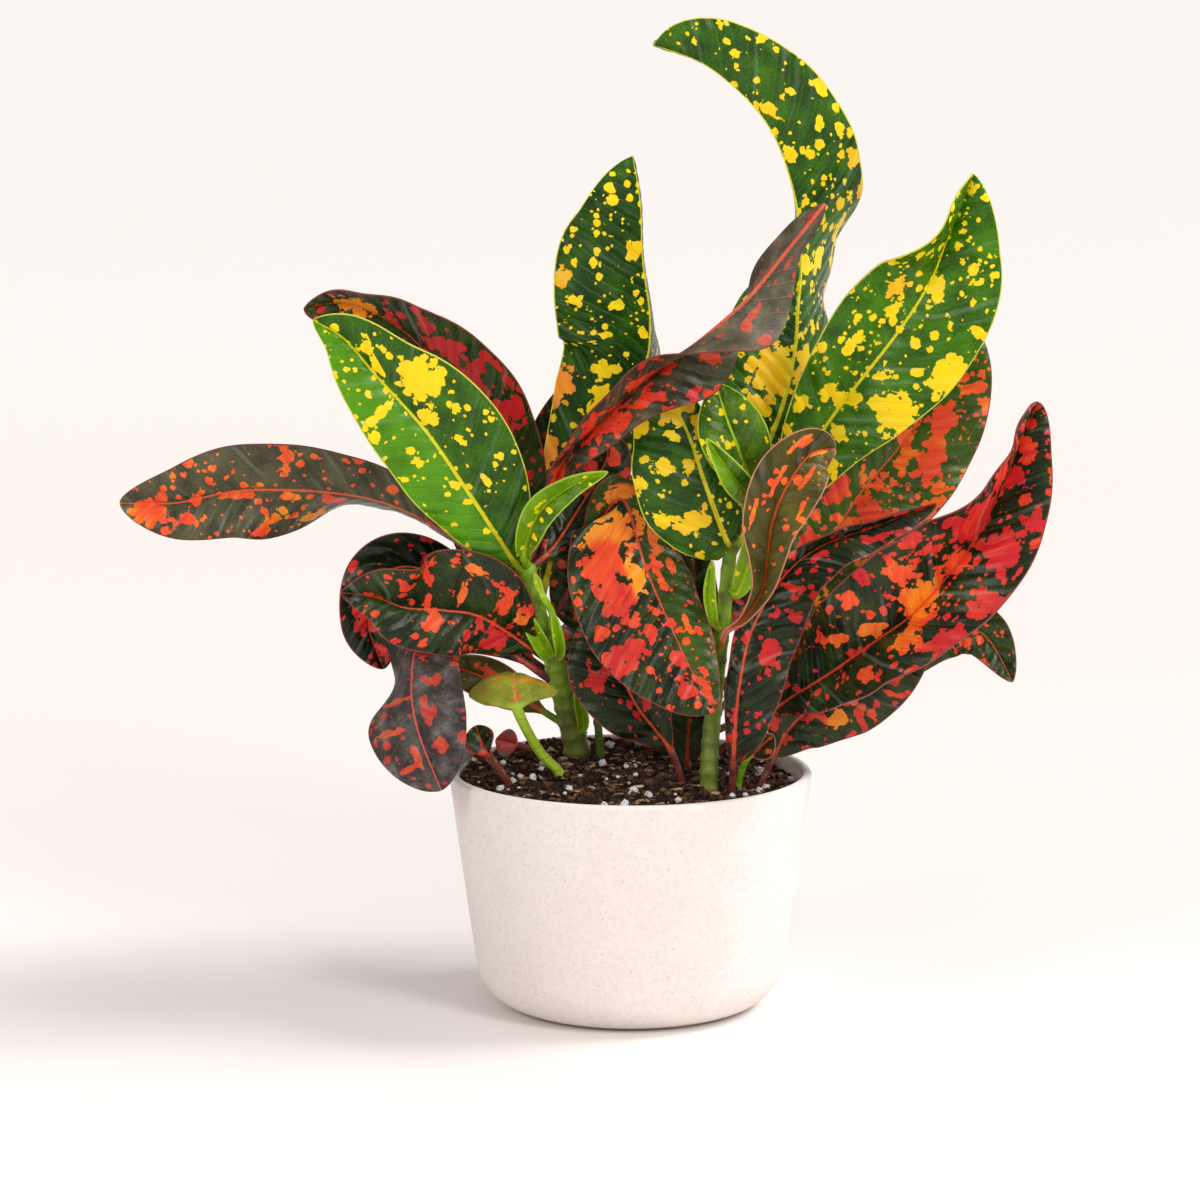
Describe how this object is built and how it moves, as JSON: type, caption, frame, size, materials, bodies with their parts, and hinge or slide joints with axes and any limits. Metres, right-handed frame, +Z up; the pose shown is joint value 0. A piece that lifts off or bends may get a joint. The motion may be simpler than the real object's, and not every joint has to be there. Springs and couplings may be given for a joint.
{
  "type": "potted croton",
  "caption": "House plant with long twisted spotted leaves in green, yellow and red on upright stems, growing in a plain tapered off-white pot filled with soil.",
  "frame": {"origin": "centre of the pot's flat underside, on the surface that the pot stands on", "axes": "+Z up, -Y toward the plant's front, +X to the right as seen from the front"},
  "size_m": [0.3639, 0.2016, 0.3923],
  "materials": {
    "pot": "matte off-white with fine brown and grey specks",
    "soil": "loose dark potting mix with bark bits and white perlite grains",
    "stem": "smooth green to olive stem, satin",
    "green_leaf": "glossy green blade with yellow spots and a yellow midrib",
    "red_leaf": "glossy dark green blade with red and orange patches and a coral midrib",
    "young_leaf": "soft bright green young blade, satin"
  },
  "bodies": {
    "root": {"pot": "pot", "soil": "soil", "left_stem": "stem", "right_stem": "stem", "side_shoot": "stem", "leaf_crown": "green_leaf", "leaf_upper_left": "green_leaf", "leaf_upper_right": "green_leaf", "leaf_left_front": "green_leaf", "leaf_low_left": "green_leaf", "leaf_centre": "green_leaf", "leaf_inner_left": "green_leaf", "leaf_spiral": "green_leaf", "leaf_right_back": "green_leaf", "leaf_streaked_low": "green_leaf", "leaf_back_left_top": "green_leaf", "leaf_back_centre_left": "green_leaf", "leaf_back_right_top": "green_leaf", "leaf_twisted": "red_leaf", "leaf_behind_left": "red_leaf", "leaf_left_red": "red_leaf", "leaf_far_left": "red_leaf", "leaf_curled_left": "red_leaf", "leaf_round_left": "red_leaf", "leaf_hanging_left": "red_leaf", "leaf_brown_low": "red_leaf", "leaf_rim_left": "red_leaf", "leaf_pink_low": "red_leaf", "leaf_under_front": "red_leaf", "leaf_inner_low": "red_leaf", "leaf_inner_right": "red_leaf", "leaf_front": "red_leaf", "leaf_red_loop": "red_leaf", "leaf_arched_red": "red_leaf", "leaf_right_red": "red_leaf", "leaf_right_low": "red_leaf", "leaf_right_hidden": "red_leaf", "leaf_back_left": "red_leaf", "leaf_back_left_low": "red_leaf", "leaf_back_low": "red_leaf", "leaf_back_centre": "red_leaf", "leaf_back_right": "red_leaf", "leaf_back_right_low": "red_leaf", "leaf_umbrella": "young_leaf", "leaf_young_left": "young_leaf", "leaf_young_top": "young_leaf", "leaf_young_folded": "young_leaf", "leaf_young_tip": "young_leaf"}
  },
  "joints": []
}
